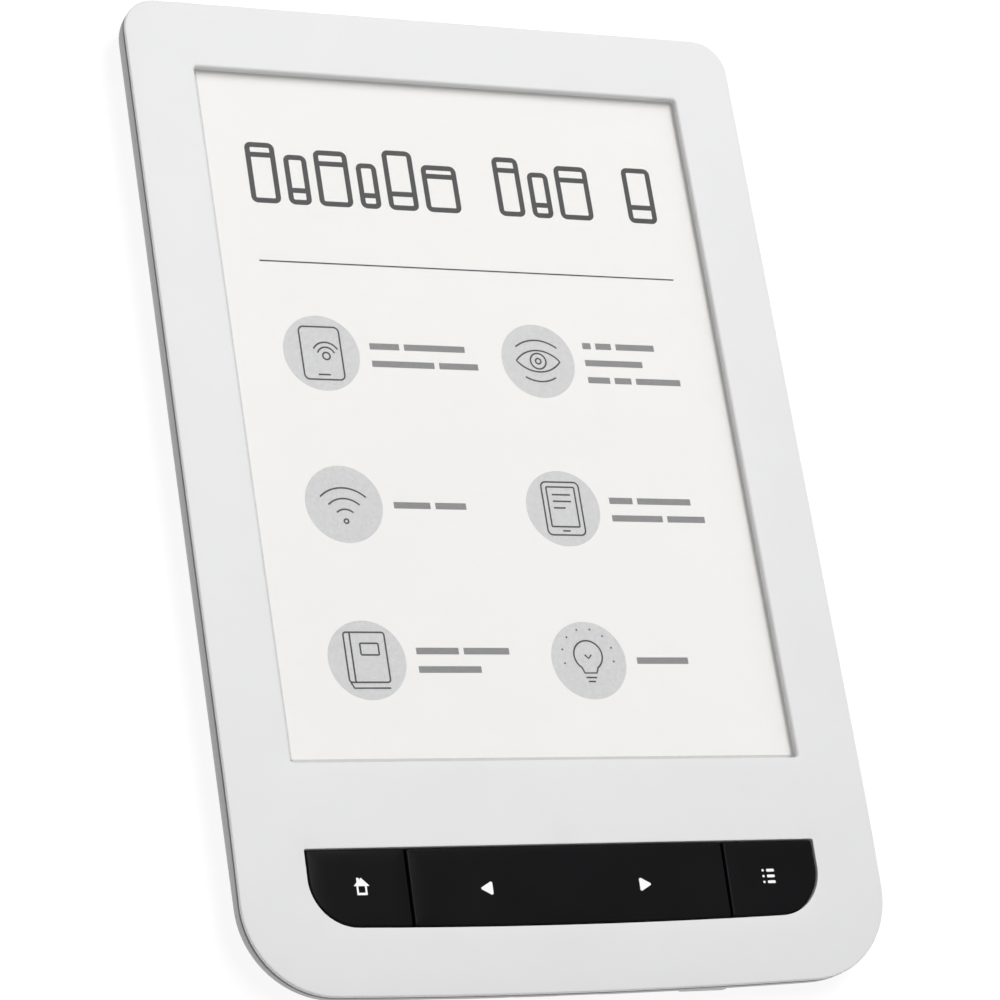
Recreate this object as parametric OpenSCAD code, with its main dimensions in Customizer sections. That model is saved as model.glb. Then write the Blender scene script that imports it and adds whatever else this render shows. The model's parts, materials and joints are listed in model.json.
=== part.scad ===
// Six-inch e-reader lying on its back: X runs across the page, Y up the page, Z out of the screen.
// The origin is at the centre of the flat back. Lengths are in millimetres.

/* [Body] */
// Width of the body
body_w = 114.6; // [114.2:0.1:116]
// Length of the body
body_l = 174.4; // [174.2:0.1:176]
// Thickness from the back to the flat part of the front
body_t = 8.3; // [8.2:0.05:8.6]
// Radius of the two top corners
top_r = 6; // [5:0.5:7]
// Radius of the two bottom corners
bottom_r = 15; // [13:0.5:17]
// How far the front has fallen away at the bottom edge
chin_drop = 1.65; // [1.4:0.05:1.8]
// How far the back curves in under the sides and the top
back_curve = 9; // [8:0.5:10]

/* [Front] */
// Width of the screen window
window_w = 91.4; // [90.6:0.1:92]
// Height of the screen window
window_h = 123.7; // [122.4:0.1:124.4]
// Distance from the centre of the body up to the centre of the window
window_y = 13.2; // [13:0.1:13.4]
// Width of the key opening
bar_w = 91.2; // [90:0.1:92]
// Gap round each key
key_gap = 0.3; // [0.25:0.05:0.4]
// Gap between two keys
key_split = 0.45; // [0.4:0.05:0.7]
// How far the keys lie below the front
key_sink = 0.1; // [0:0.05:0.2]

/* [Ports] */
// Distance of the card socket from the middle
card_x = -28; // [-29:0.5:-26]
// Distance of the reset pinhole from the middle
reset_x = -12; // [-13:0.5:-10]
// Distance of the status light from the middle
light_x = 11.5; // [10:0.5:13]
// Distance of the power button from the middle
power_x = 23; // [21:0.5:25]

/* [Hidden] */
$fn = 64;

half_w = body_w / 2;
half_l = body_l / 2;

// The bottom edge is one long shallow arc that runs into the bottom corners
bow_r = 1400;
bow_y = bow_r - half_l;
low_x = half_w - bottom_r;
low_y = bow_y - sqrt(pow(bow_r - bottom_r, 2) - pow(low_x, 2));

// The front is flat down to just below the window, then follows an arc to the bottom edge
chin_y = -50;
chin_run = half_l + chin_y;
chin_r = (pow(chin_run, 2) + pow(chin_drop, 2)) / (2 * chin_drop);

// Shells
plate_t = 1.2;
plate_lip = 0.65;
groove_in = 0.8;
rim_z = body_t - plate_t;
wall = 1.2;
floor_t = 1.2;
low_curve = 5;
curve_power = 2.75;
layers = 8;
skirt_out = 1.7;
skirt_in = 2.6;
skirt_z = 5.6;
hook_l = 6;
hook_in = 1;
hook_z = 6;
hook_h = 0.6;
hook_play = 0.15;
side_hooks = [-45, -5, 25, 65];
top_hooks = [-25, 25];

// Display stack, each layer lying on the one below
frame_z = 4.55;
frame_t = 0.6;
glass_z = frame_z + frame_t;
glass_t = 0.7;
film_z = glass_z + glass_t;
film_t = 0.3;
guide_z = film_z + film_t;
guide_t = 0.45;
touch_z = guide_z + guide_t;
touch_t = 0.2;
gasket_z = touch_z + touch_t;
frame_x = 54.2;
frame_low = -59;
frame_top = 84.2;
rim_x = 51.1;
rim_y = 79.5;
rim_t = 0.4;
rim_h = 1.3;
boss_x = 52.9;
frame_bolts = [-38, 0, 38, 76];

// Key opening: its bottom edge runs parallel to the bottom edge of the body
bar_top = -63;
bar_low = -76.3;
bar_r = 8;
bar_x = bar_w / 2 - bar_r;
bar_bow_r = bow_y - bar_low;
bar_y = bow_y - sqrt(pow(bar_bow_r - bar_r, 2) - pow(bar_x, 2));

// Keys
split_x = 28.4;
key_z = 5.6;
page_z = 5.85;
key_wall = 0.8;
key_roof = 0.9;
flange_t = 0.4;
stem_r = 1.5;
stem_z = 4.85;
key_y = -69.6;
home_x = -36.9;
dome_x = 18;
pin_z = 5.85;
pin_r = 0.4;
pin_play = 0.05;
ear_t = 1;
ear_y = [-74.1, -66.9];
ear_x = 1.3;
ear_top = 6.52;
tray_z = 4.95;
tray_t = 0.4;
tray_gap = 0.8;
tray_wall = 1;

// Main board: its top carries the domes and its underside carries everything else
board_t = 0.8;
board_z = 3.7;
board_top = board_z + board_t;
board_x = 51.2;
board_low = -81;
board_high = -15;
slot_y = -60.1;
dome_h = 0.3;
dome_r = 2.2;
dome_t = 0.1;
chin_bolts = [[50, -63.4], [41, -79.4]];
upper_bolts = [[47, -22], [47, -52]];

// Sockets along the bottom edge
port_z = 3;
usb_w = 7.5;
usb_h = 2.4;
usb_l = 5.6;
usb_y = -84;
card_w = 14;
card_l = 15;
card_h = 1.35;
card_y = -83.6;
pinhole_r = 0.6;
pinhole_mouth = -86.3;
pinhole_end = -82.4;
pipe_r = 0.6;
button_w = 9;
button_h = 2;
button_y = -86.6;

// Battery
cell_x = 27;
cell_low = -6;
cell_l = 80;
cell_t = 2.75;
cell_z = 1.6;
plug_y = -14.5;
lead_z = 2.95;
lead_r = 0.4;
lead_x = 1.2;
lead_shift = 2.4;
lead_sag = 0.5;
lead_run = cell_low - 3 - plug_y;
lead_rings = 10;
lead_sides = 10;

// ---- Shared shapes ----

// Rounded rectangle between two corners
module plate(low, high, r) {
    translate([low[0] + r, low[1]]) square([high[0] - low[0] - 2 * r, high[1] - low[1]]);
    translate([low[0], low[1] + r]) square([high[0] - low[0], high[1] - low[1] - 2 * r]);
    for (x = [low[0] + r, high[0] - r], y = [low[1] + r, high[1] - r]) translate([x, y]) circle(r = r);
}

// Block between two opposite corners
module block(low, high) {
    translate(low) cube(high - low);
}

// Outline of the body, moved inwards by inset
module outline(inset = 0) {
    for (side = [-1, 1]) {
        translate([side * (half_w - top_r), half_l - top_r]) circle(r = top_r - inset);
        translate([side * low_x, low_y]) circle(r = bottom_r - inset);
    }
    translate([inset - half_w, low_y]) square([body_w - 2 * inset, half_l - top_r - low_y]);
    translate([top_r - half_w, low_y]) square([body_w - 2 * top_r, half_l - inset - low_y]);
    intersection() {
        translate([0, bow_y]) circle(r = bow_r - inset, $fn = 1800);
        translate([-low_x, -half_l]) square([2 * low_x, half_l]);
    }
}

// Outline of the key opening, grown outwards by grow
module key_outline(grow = 0) {
    height = bar_top - bar_low + 2 * grow;
    intersection() {
        union() {
            for (side = [-1, 1]) translate([side * bar_x, bar_y]) circle(r = bar_r + grow);
            translate([-bar_w / 2 - grow, bar_y]) square([bar_w + 2 * grow, height]);
            intersection() {
                translate([0, bow_y]) circle(r = bar_bow_r + grow, $fn = 1800);
                translate([-bar_x, bar_low - 5]) square([2 * bar_x, bar_top - bar_low + 4]);
            }
        }
        translate([-bar_w / 2 - grow - 1, bar_low - grow - 1]) square([bar_w + 2 * grow + 2, height + 1]);
    }
}

// Everything below the front surface lowered by depth
module below_front(depth) {
    rotate([90, 0, 90]) linear_extrude(body_w + 10, center = true) {
        translate([chin_y, -1]) square([half_l - chin_y + 5, body_t - depth + 1]);
        intersection() {
            translate([chin_y, body_t - chin_r]) circle(r = chin_r - depth, $fn = 1440);
            translate([-half_l - 5, -1]) square([half_l + 5, body_t + 1]);
        }
    }
}

// Flat ribbon cable along points in the Y-Z plane
module ribbon(points, width, thickness) {
    rotate([90, 0, 90]) linear_extrude(width, center = true) {
        for (i = [0 : len(points) - 2]) {
            step = points[i + 1] - points[i];
            translate(points[i]) rotate(atan2(step[1], step[0])) translate([0, -thickness / 2])
                square([norm(step), thickness]);
        }
        for (i = [1 : len(points) - 2]) translate(points[i]) circle(d = thickness, $fn = 24);
    }
}

// Screw with its head down and its shank up
module screw(head_r, head_h, shank_r, shank_l) {
    socket_r = head_r / 2;
    difference() {
        union() {
            translate([0, 0, -head_h]) cylinder(r = head_r, h = head_h);
            cylinder(r = shank_r, h = shank_l);
        }
        translate([0, 0, -head_h - 0.1]) cylinder(r = socket_r, h = head_h / 2 + 0.1, $fn = 6);
    }
}

// ---- Shells ----

module front_bezel() {
    color("whitesmoke") difference() {
        union() {
            bezel_plate();
            bezel_skirt();
            for (side = [-1, 1], y = frame_bolts)
                translate([side * boss_x, y, glass_z]) cylinder(r = 1.2, h = rim_z - glass_z + 0.2);
            intersection() {
                for (side = [-1, 1], bolt = chin_bolts)
                    translate([side * bolt[0], bolt[1], board_top]) cylinder(r = 1.7, h = rim_z - board_top);
                below_front(plate_t / 2);
            }
        }
        for (side = [-1, 1]) {
            for (y = frame_bolts) translate([side * boss_x, y, glass_z - 1]) cylinder(r = 0.6, h = 2.6);
            for (bolt = chin_bolts)
                translate([side * bolt[0], bolt[1], board_top - 1]) cylinder(r = 0.8, h = 2.4);
        }
    }
}

// Front plate with a rebate round its edge, which leaves the dark groove above the back cover
module bezel_plate() {
    difference() {
        intersection() {
            union() {
                linear_extrude(body_t) outline(groove_in);
                difference() {
                    linear_extrude(body_t) outline();
                    below_front(plate_lip);
                }
            }
            below_front(0);
        }
        below_front(plate_t);
        linear_extrude(body_t + 1) {
            translate([0, window_y]) plate([-window_w / 2, -window_h / 2], [window_w / 2, window_h / 2], 0.5);
            key_outline();
        }
    }
}

// Skirt inside the back cover, with its snap hooks along the sides and the top
module bezel_skirt() {
    intersection() {
        translate([0, 0, skirt_z]) linear_extrude(body_t) difference() {
            outline(skirt_out);
            outline(skirt_in);
        }
        below_front(plate_t / 2);
    }
    snap_hooks(0);
}

// Hooks that reach out of the skirt into the cover, grown by play for their pockets
module snap_hooks(play) {
    for (turn = [0, 180], y = side_hooks) rotate(turn) snap_hook(half_w, y, play);
    for (x = top_hooks) rotate(90) snap_hook(half_l, x, play);
}

// One hook inside the edge that faces +X
module snap_hook(edge, along, play) {
    root = edge - skirt_in + 0.2;
    block(
        [root, along - hook_l / 2 - play, hook_z - play],
        [edge - hook_in + play, along + hook_l / 2 + play, hook_z + hook_h + play]
    );
}

// Inset of the outer wall at a height: upright near the rim, then a fast turn into the flat back
function shell_inset(z, curve, low) =
    curve * (1 - pow(1 - pow(1 - (z - low) / (rim_z - low), curve_power), 1 / curve_power));

// Solid inside the curved shell: layers of one outline that draw in towards the back
module shell_solid(skin, low, top_extra) {
    hull() for (i = [0 : layers]) {
        lift = 1 - cos(90 * i / layers);
        z = low + (rim_z - low) * lift;
        side_in = skin + shell_inset(z, back_curve - skin, low);
        low_in = skin + shell_inset(z, low_curve - skin, low);
        thick = i == layers ? top_extra : 0.01;
        for (side = [-1, 1]) {
            translate([side * (half_w - side_in - top_r + skin), half_l - side_in - top_r + skin, z])
                cylinder(r = top_r - skin, h = thick, $fn = 40);
            translate([side * (half_w - side_in - bottom_r + skin), low_y + low_in - skin, z])
                cylinder(r = bottom_r - skin, h = thick, $fn = 40);
        }
        for (x = [-24, 0, 24]) {
            edge = bow_y - sqrt(pow(bow_r, 2) - pow(x, 2)) + low_in;
            translate([x, edge + 0.5, z]) cylinder(r = 0.5, h = thick, $fn = 16);
        }
    }
}

module back_cover() {
    color("gainsboro") difference() {
        union() {
            difference() {
                intersection() {
                    shell_solid(0, 0, 0.01);
                    below_front(plate_t);
                }
                shell_solid(wall, floor_t, 1);
            }
            // Guide tube behind the reset pinhole
            translate([reset_x, pinhole_end, port_z]) rotate([90, 0, 0]) cylinder(r = 1.5, h = 3);
        }
        snap_hooks(hook_play);
        port_cuts();
    }
}

// Everything cut through the bottom wall
module port_cuts() {
    usb_mid = board_z - usb_h / 2;
    deep = 5;
    translate([0, usb_y + 0.3, usb_mid]) rotate([90, 0, 0])
        linear_extrude(deep)
            plate([-usb_w / 2 - 0.6, -usb_h / 2 - 0.45], [usb_w / 2 + 0.6, usb_h / 2 + 0.45], 1.2);
    block([-usb_w / 2 - 0.2, usb_y - 0.1, board_z - usb_h - 0.1], [usb_w / 2 + 0.2, usb_y + 6, board_z + 1]);
    translate([card_x, card_y - 0.2, board_z - card_h / 2]) rotate([90, 0, 0])
        linear_extrude(deep) plate([-6.4, -0.8], [6.4, 0.8], 0.7);
    translate([reset_x, pinhole_end + 1, port_z]) rotate([90, 0, 0]) cylinder(r = pinhole_r, h = 8);
    translate([reset_x, pinhole_mouth, port_z]) rotate([90, 0, 0]) cylinder(r = 1.1, h = 4);
    translate([light_x, pinhole_end + 1, port_z]) rotate([90, 0, 0]) cylinder(r = pipe_r + 0.05, h = 8);
    translate([power_x, -82, port_z]) rotate([90, 0, 0])
        linear_extrude(8) plate([-button_w / 2 - 0.25, -1.25], [button_w / 2 + 0.25, 1.25], 1.2);
}

// Chassis that carries the display in front and the board and battery behind
module mid_frame() {
    color("silver") difference() {
        union() {
            translate([0, 0, frame_z]) linear_extrude(frame_t)
                plate([-frame_x, frame_low], [frame_x, frame_top], 4);
            translate([0, 0, glass_z]) linear_extrude(rim_h) difference() {
                plate([-rim_x - rim_t, frame_low], [rim_x + rim_t, rim_y + rim_t], 0.5);
                translate([-rim_x, frame_low - 1]) square([2 * rim_x, rim_y - frame_low + 1]);
            }
        }
        for (side = [-1, 1]) {
            for (y = frame_bolts) translate([side * boss_x, y, frame_z - 1]) cylinder(r = 0.8, h = 3);
            for (bolt = upper_bolts)
                translate([side * bolt[0], bolt[1], frame_z - 1]) cylinder(r = 0.7, h = 3);
        }
    }
}

// ---- Display ----

module display_gasket() {
    low = window_y - window_h / 2;
    high = window_y + window_h / 2;
    color("lightgray") translate([0, 0, gasket_z]) linear_extrude(rim_z - gasket_z - 0.01) difference() {
        plate([-window_w / 2 - 2.4, low - 1.6], [window_w / 2 + 2.4, high + 2.4], 1);
        plate([-window_w / 2 - 0.6, low - 0.5], [window_w / 2 + 0.6, high + 0.6], 0.8);
    }
}

module touch_panel() {
    color("aliceblue", 0.4) translate([0, 0, touch_z]) linear_extrude(touch_t)
        plate([-49.6, -57.4], [49.6, 79], 1);
}

module light_guide() {
    color("azure", 0.5) translate([0, 0, guide_z]) linear_extrude(guide_t)
        plate([-48.6, -52.6], [48.6, 77.8], 0.6);
}

// Flexible board along the lower edge of the light guide
module light_strip() {
    color("goldenrod") block([-47, -56, guide_z], [47, -54, guide_z + 0.1]);
}

module light_leds() {
    color("lemonchiffon") for (i = [0 : 7]) {
        x = -42 + 12 * i;
        block([x - 1.5, -53.9, guide_z], [x + 1.5, -52.7, guide_z + 0.4]);
    }
}

module screen_film() {
    color("ivory") translate([0, 0, film_z]) linear_extrude(film_t) plate([-48, -51], [48, 77.5], 0.5);
}

module display_glass() {
    color("slategray") block([-50.9, -58.9, glass_z], [50.9, 79.3, glass_z + glass_t]);
}

module display_flex() {
    z = film_z + 0.075;
    color("darkorange") translate([-9, 0, 0])
        ribbon([[-55.6, z], [slot_y, z], [slot_y, 3.2], [-57.6, 3.2]], 20, 0.15);
}

module touch_flex() {
    z = guide_z + 0.24;
    color("orange") translate([15, 0, 0])
        ribbon([[-56.3, z], [slot_y, z], [slot_y, 3.2], [-57.6, 3.2]], 8, 0.12);
}

module light_flex() {
    z = guide_z + 0.05;
    color("gold") translate([27, 0, 0])
        ribbon([[-56, z], [slot_y, z], [slot_y, 3.2], [-57.6, 3.2]], 5, 0.1);
}

// ---- Keys ----

// Part of the key opening between two X positions, grown by grow
module key_slice(from, to, grow) {
    intersection() {
        key_outline(grow);
        translate([from, bar_low - 2]) square([to - from, bar_top - bar_low + 4]);
    }
}

// Hollow key cap whose top follows the front
module key_cap(from, to, base) {
    difference() {
        intersection() {
            translate([0, 0, base]) linear_extrude(body_t) key_slice(from, to, -key_gap);
            below_front(key_sink);
        }
        intersection() {
            translate([0, 0, base - 1]) linear_extrude(body_t)
                key_slice(from + key_wall, to - key_wall, -key_gap - key_wall);
            below_front(key_sink + key_roof);
        }
    }
}

// Stem down to a dome, with the cross rib that ties it into the roof and walls of its key
module key_stem(x, base) {
    translate([x, key_y, stem_z]) cylinder(r = stem_r, h = 2);
    intersection() {
        block([x - 0.4, bar_low + 1, base], [x + 0.4, bar_top - 0.6, body_t]);
        below_front(key_sink + key_roof / 2);
    }
}

// End key with a flange that holds it under the bezel
module end_key(from, to, stem_x) {
    key_cap(from, to, key_z);
    translate([0, 0, key_z]) linear_extrude(flange_t) difference() {
        key_slice(from < 0 ? -bar_w : from, from < 0 ? to : bar_w, 0.4);
        key_slice(from + key_wall, to - key_wall, -key_gap - key_wall);
    }
    key_stem(stem_x, key_z);
}

module home_key() {
    color("black") end_key(-bar_w / 2 + key_gap, -split_x - key_split / 2, home_x);
}

module menu_key() {
    color("black") end_key(split_x + key_split / 2, bar_w / 2 - key_gap, -home_x);
}

module page_key() {
    reach = split_x - key_split / 2;
    color("black") {
        key_cap(-reach, reach, page_z);
        for (x = [-dome_x, dome_x]) key_stem(x, page_z);
        // Rib and trunnions of the rocker
        intersection() {
            block([-1.6, ear_y[0] + ear_t + 0.3, pin_z - 0.35], [1.6, ear_y[1] - 0.3, body_t]);
            below_front(key_sink + key_roof / 2);
        }
        translate([0, ear_y[1] + ear_t + 0.1, pin_z]) rotate([90, 0, 0])
            cylinder(r = pin_r, h = ear_y[1] - ear_y[0] + ear_t + 0.2);
    }
}

// Dark tray under the keys: a floor with holes for the stems, a rim and two ears for the rocker
module key_tray() {
    color([0.1, 0.1, 0.1]) difference() {
        union() {
            translate([0, 0, tray_z]) linear_extrude(tray_t) key_outline(tray_gap + tray_wall);
            intersection() {
                translate([0, 0, tray_z]) linear_extrude(body_t) difference() {
                    key_outline(tray_gap + tray_wall);
                    key_outline(tray_gap);
                }
                below_front(plate_t);
            }
            for (y = ear_y) block([-ear_x, y, tray_z + tray_t / 2], [ear_x, y + ear_t, ear_top]);
        }
        for (x = [home_x, -dome_x, dome_x, -home_x])
            translate([x, key_y, 0]) cylinder(r = stem_r + 0.3, h = body_t);
        for (y = ear_y) translate([0, y + ear_t + 0.2, pin_z]) rotate([90, 0, 0])
            cylinder(r = pin_r + pin_play, h = ear_t + 0.4);
    }
}

// Snap dome on the board
module dome(x) {
    ball_r = (pow(dome_r, 2) + pow(dome_h, 2)) / (2 * dome_h);
    color("lightgray") translate([x, key_y, board_top]) rotate_extrude() intersection() {
        difference() {
            translate([0, dome_h - ball_r]) circle(r = ball_r, $fn = 360);
            translate([0, dome_h - ball_r]) circle(r = ball_r - dome_t, $fn = 360);
        }
        square([dome_r, dome_h + 0.1]);
    }
}

module home_dome() { dome(home_x); }
module back_dome() { dome(-dome_x); }
module forward_dome() { dome(dome_x); }
module menu_dome() { dome(-home_x); }

// ---- Board ----

module main_board() {
    color("darkgreen") translate([0, 0, board_z]) linear_extrude(board_t) difference() {
        union() {
            plate([-board_x, board_low], [board_x, -50], 9);
            plate([-board_x, -72], [board_x, board_high], 2);
        }
        translate([-21, slot_y - 0.6]) square([52, 1.2]);
        translate([-12, board_high - 3]) square([24, 4]);
        for (side = [-1, 1], bolt = concat(chin_bolts, upper_bolts))
            translate([side * bolt[0], bolt[1]]) circle(r = 0.95);
    }
}

// Low box on the underside of the board, given by its centre and size
module chip(x, y, size) {
    block([x - size[0] / 2, y - size[1] / 2, board_z - size[2]], [x + size[0] / 2, y + size[1] / 2, board_z]);
}

module processor() { color([0.12, 0.12, 0.13]) chip(-28, -32, [13, 13, 1]); }
module memory_chip() { color([0.15, 0.15, 0.16]) chip(-12, -32, [8, 12, 0.9]); }
module storage_chip() { color([0.16, 0.16, 0.18]) chip(10, -40, [11.5, 13, 0.9]); }
module power_chip() { color([0.14, 0.14, 0.15]) chip(30, -44, [7, 7, 0.8]); }
module crystal() { color("silver") chip(26, -30, [3.2, 2.5, 0.7]); }

// Folded tin lid over the processor and its memory
module shield_can() {
    low = [-37, -41, board_z - 1.5];
    high = [-5, -23, board_z];
    color("lightsteelblue") difference() {
        block(low, high);
        block(low + [0.2, 0.2, 0.2], high + [-0.2, -0.2, 1]);
        for (i = [0 : 5]) translate([-33.5 + 5 * i, -32, low[2] - 0.1]) cylinder(r = 0.6, h = 0.4);
    }
}

module wifi_module() { color("steelblue") chip(-37, -54, [12, 12, 1.8]); }
module chip_antenna() { color("white") chip(-42, -66, [7, 2, 1]); }

module inductors() {
    color([0.3, 0.3, 0.32])
        for (place = [[38, -38], [38, -50], [22, -48]]) chip(place[0], place[1], [4, 4, 1.2]);
}

module capacitors() {
    color("tan") {
        for (i = [0 : 6]) chip(-34 + 4 * i, -45.5, [1, 0.5, 0.5]);
        for (i = [0 : 4]) chip(34, -30 + 2 * i, [1.6, 0.8, 0.8]);
        for (i = [0 : 3]) chip(2 + 4 * i, -29, [1, 0.5, 0.5]);
    }
}

// Ribbon connector whose mouth faces the ribbon
module ribbon_connector(x, width) {
    difference() {
        chip(x, -56, [width, 3, 1.1]);
        block([x - width / 2 + 0.7, -58, 3], [x + width / 2 - 0.7, -56.5, 3.4]);
    }
}

module display_connector() { color([0.85, 0.83, 0.75]) ribbon_connector(-9, 22.5); }
module touch_connector() { color([0.85, 0.83, 0.75]) ribbon_connector(15, 10.5); }
module light_connector() { color([0.85, 0.83, 0.75]) ribbon_connector(27, 7.5); }

// ---- Battery ----

module battery_cell() {
    color([0.75, 0.76, 0.78]) translate([0, 0, cell_z]) linear_extrude(cell_t)
        plate([-cell_x, cell_low], [cell_x, cell_low + cell_l], 1.5);
}

module battery_tape() {
    tape_z = cell_z + cell_t;
    color("white") for (side = [-1, 1])
        block([side * 16 - 6, cell_low + 6, tape_z], [side * 16 + 6, cell_low + cell_l - 6, frame_z]);
}

module protection_board() {
    color("darkkhaki") block([-20, cell_low - 3, lead_z - 0.4], [20, cell_low, lead_z + 0.5]);
}

// Points of a lead from the plug to the protection board, eased sideways and sagging towards the cover
function lead_path(side) = [
    for (i = [0 : lead_rings]) let (t = i / lead_rings, x = lead_x + lead_shift * (1 - cos(180 * t)) / 2)
        [side * x, plug_y + lead_run * t, lead_z - lead_sag * sin(180 * t)]
];

// Tube swept along a lead's points
module lead(side) {
    path = lead_path(side);
    points = [
        for (p = path) for (k = [0 : lead_sides - 1]) let (a = 360 * k / lead_sides)
            [p[0] + lead_r * cos(a), p[1], p[2] + lead_r * sin(a)]
    ];
    walls = [
        for (i = [0 : lead_rings - 1]) for (k = [0 : lead_sides - 1])
            let (n = (k + 1) % lead_sides, base = i * lead_sides)
                [base + k, base + n, base + lead_sides + n, base + lead_sides + k]
    ];
    first = [for (k = [lead_sides - 1 : -1 : 0]) k];
    last = [for (k = [0 : lead_sides - 1]) lead_rings * lead_sides + k];
    polyhedron(points, concat(walls, [first], [last]));
}

module battery_lead_red() { color("red") lead(1); }
module battery_lead_black() { color([0.08, 0.08, 0.08]) lead(-1); }
module battery_socket() {
    color("ivory") difference() {
        chip(0, -19.7, [8, 3.4, 1.6]);
        block([-3.1, -18.9, 2.4], [3.1, -17, 3.4]);
    }
}

module battery_plug() { color("white") block([-3, -18.8, 2.45], [3, plug_y, 3.35]); }

// ---- Bottom edge ----

module usb_socket() {
    color("silver") translate([0, usb_y + usb_l, board_z - usb_h / 2]) rotate([90, 0, 0]) difference() {
        linear_extrude(usb_l) usb_profile(0);
        translate([0, 0, 0.3]) linear_extrude(usb_l) usb_profile(0.25);
    }
}

// Flat-topped shell profile with drawn-in lower corners
module usb_profile(skin) {
    x = usb_w / 2 - skin;
    y = usb_h / 2 - skin;
    polygon([[-x, y], [x, y], [x, -y + 1], [x - 0.9, -y], [-x + 0.9, -y], [-x, -y + 1]]);
}

module usb_tongue() {
    color([0.1, 0.1, 0.1])
        block([-2.3, usb_y + 0.6, board_z - 1.2], [2.3, usb_y + usb_l - 0.3, board_z - 0.6]);
}

module card_socket() {
    color("silver") difference() {
        block(
            [card_x - card_w / 2, card_y, board_z - card_h],
            [card_x + card_w / 2, card_y + card_l, board_z]
        );
        block([card_x - 5.6, card_y - 1, board_z - 1.1], [card_x + 5.6, card_y + card_l - 1, board_z - 0.25]);
    }
}

module power_button() {
    color("gainsboro") {
        translate([power_x, -83, port_z]) rotate([90, 0, 0]) linear_extrude(-83 - button_y)
            plate([-button_w / 2, -button_h / 2], [button_w / 2, button_h / 2], 0.98);
        block([power_x - 5.3, -83, port_z - 1.3], [power_x + 5.3, -82.3, port_z + 0.6]);
    }
}

module power_switch() {
    color("silver") difference() {
        block([power_x - 3.2, -81.3, board_z - 1.5], [power_x + 3.2, -78.4, board_z]);
        block([power_x - 1.1, -82, port_z - 0.45], [power_x + 1.1, -80.2, port_z + 0.45]);
    }
}

module power_plunger() {
    color("white") block([power_x - 1, -82.3, port_z - 0.35], [power_x + 1, -80.8, port_z + 0.35]);
}

module reset_switch() {
    color("silver") difference() {
        block([reset_x - 2, -81, board_z - 1.5], [reset_x + 2, -78, board_z]);
        translate([reset_x, -79.8, port_z]) rotate([90, 0, 0]) cylinder(r = 0.55, h = 2);
    }
}

module reset_plunger() {
    color("white") translate([reset_x, -80.3, port_z]) rotate([90, 0, 0]) cylinder(r = 0.5, h = 1.5);
}

module status_led() {
    color("palegreen") block([light_x - 0.8, -81.9, board_z - 1.1], [light_x + 0.8, -81, board_z]);
}

module light_pipe() {
    color("honeydew", 0.7) translate([light_x, -82, port_z]) rotate([90, 0, 0]) cylinder(r = pipe_r, h = 4.5);
}

// ---- Fasteners ----

module board_screws() {
    color("darkgray") for (side = [-1, 1]) {
        for (bolt = chin_bolts) translate([side * bolt[0], bolt[1], board_z]) screw(1.4, 0.8, 0.75, 1.9);
        for (bolt = upper_bolts) translate([side * bolt[0], bolt[1], board_z]) screw(1.4, 0.8, 0.65, 1.4);
    }
}

module frame_screws() {
    color("darkgray") for (side = [-1, 1], y = frame_bolts)
        translate([side * boss_x, y, frame_z]) screw(1.1, 0.6, 0.55, 1.9);
}

front_bezel();
back_cover();
mid_frame();
display_gasket();
touch_panel();
light_guide();
light_strip();
light_leds();
screen_film();
display_glass();
display_flex();
touch_flex();
light_flex();
key_tray();
home_key();
page_key();
menu_key();
home_dome();
back_dome();
forward_dome();
menu_dome();
main_board();
processor();
memory_chip();
storage_chip();
power_chip();
shield_can();
wifi_module();
chip_antenna();
crystal();
inductors();
capacitors();
display_connector();
touch_connector();
light_connector();
battery_socket();
battery_plug();
battery_lead_red();
battery_lead_black();
battery_cell();
protection_board();
battery_tape();
usb_socket();
usb_tongue();
card_socket();
power_button();
power_switch();
power_plunger();
reset_switch();
reset_plunger();
status_led();
light_pipe();
board_screws();
frame_screws();
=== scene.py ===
import json
import math

import bmesh
import bpy
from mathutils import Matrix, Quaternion, Vector
from mathutils.geometry import delaunay_2d_cdt


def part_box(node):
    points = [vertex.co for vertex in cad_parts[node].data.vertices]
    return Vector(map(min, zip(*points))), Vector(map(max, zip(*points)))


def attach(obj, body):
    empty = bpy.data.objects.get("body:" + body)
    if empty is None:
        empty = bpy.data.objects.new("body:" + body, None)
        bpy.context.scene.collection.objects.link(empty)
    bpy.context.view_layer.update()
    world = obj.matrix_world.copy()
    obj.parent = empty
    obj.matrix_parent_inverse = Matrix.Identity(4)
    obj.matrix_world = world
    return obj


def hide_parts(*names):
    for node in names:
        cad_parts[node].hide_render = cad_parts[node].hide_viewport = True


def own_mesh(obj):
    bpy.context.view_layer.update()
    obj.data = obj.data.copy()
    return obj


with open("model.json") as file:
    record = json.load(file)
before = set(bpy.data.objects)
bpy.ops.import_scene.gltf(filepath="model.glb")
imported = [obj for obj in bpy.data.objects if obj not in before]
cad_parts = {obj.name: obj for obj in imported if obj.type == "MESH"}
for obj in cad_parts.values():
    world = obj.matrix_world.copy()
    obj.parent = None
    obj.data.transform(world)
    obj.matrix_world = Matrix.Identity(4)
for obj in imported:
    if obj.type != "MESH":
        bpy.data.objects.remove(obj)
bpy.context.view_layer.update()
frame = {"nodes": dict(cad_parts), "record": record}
nodes = frame["nodes"]
mm = 0.001
print("frame loaded:", len(nodes), "nodes")

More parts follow.
